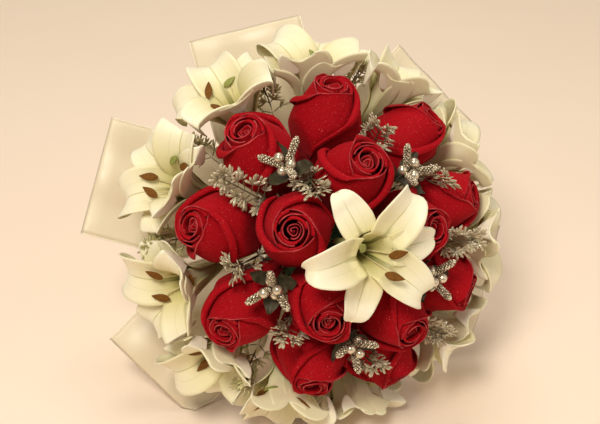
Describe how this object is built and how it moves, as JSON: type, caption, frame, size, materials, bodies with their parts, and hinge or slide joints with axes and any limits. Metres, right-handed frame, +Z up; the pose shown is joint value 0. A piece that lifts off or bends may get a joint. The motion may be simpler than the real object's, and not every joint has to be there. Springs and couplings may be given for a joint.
{
  "type": "bridal bouquet",
  "caption": "Round bridal bouquet of red roses and ivory lilies with glitter sprigs, bead picks and a satin collar, lying on a table with the end of its wrapped handle down.",
  "frame": {"origin": "centre of the bouquet's footprint, on the surface that it lies on", "axes": "+Z up from the surface, -Y towards the flowers' face, +Y towards the end of the handle, +X to the right as seen from the face"},
  "size_m": [0.309, 0.294, 0.2458],
  "materials": {
    "rose_foam": "matte",
    "lily_foam": "satin",
    "glitter_sheet": "gloss",
    "pearl_beads": "gloss",
    "ivory_satin": "satin",
    "flower_foam": "matte",
    "holder_plastic": "satin"
  },
  "bodies": {
    "root": {"foam_ball": "flower_foam", "holder": "holder_plastic", "handle_ribbon": "ivory_satin", "rose_upper_left": "rose_foam", "rose_top": "rose_foam", "rose_upper_right": "rose_foam", "rose_centre_top": "rose_foam", "rose_right": "rose_foam", "rose_left": "rose_foam", "rose_centre_left": "rose_foam", "rose_lower_left": "rose_foam", "rose_centre_bottom": "rose_foam", "rose_bottom": "rose_foam", "rose_lower_right": "rose_foam", "rose_right_low": "rose_foam", "rose_bottom_right": "rose_foam", "rose_centre_right": "rose_foam", "lily_01": "lily_foam", "lily_02": "lily_foam", "lily_03": "lily_foam", "lily_04": "lily_foam", "lily_05": "lily_foam", "lily_06": "lily_foam", "lily_07": "lily_foam", "lily_08": "lily_foam", "lily_09": "lily_foam", "lily_10": "lily_foam", "lily_11": "lily_foam", "lily_front": "lily_foam", "sprig_01": "glitter_sheet", "sprig_02": "glitter_sheet", "sprig_03": "glitter_sheet", "sprig_04": "glitter_sheet", "sprig_05": "glitter_sheet", "sprig_06": "glitter_sheet", "sprig_07": "glitter_sheet", "sprig_08": "glitter_sheet", "sprig_09": "glitter_sheet", "sprig_10": "glitter_sheet", "sprig_11": "glitter_sheet", "sprig_12": "glitter_sheet", "sprig_13": "glitter_sheet", "sprig_14": "glitter_sheet", "bead_pick_1": "pearl_beads", "bead_pick_2": "pearl_beads", "bead_pick_3": "pearl_beads", "bead_pick_4": "pearl_beads", "bead_pick_5": "pearl_beads", "satin_loop_1": "ivory_satin", "satin_loop_2": "ivory_satin", "satin_loop_3": "ivory_satin", "satin_loop_4": "ivory_satin", "satin_loop_5": "ivory_satin", "satin_loop_6": "ivory_satin"}
  },
  "joints": []
}
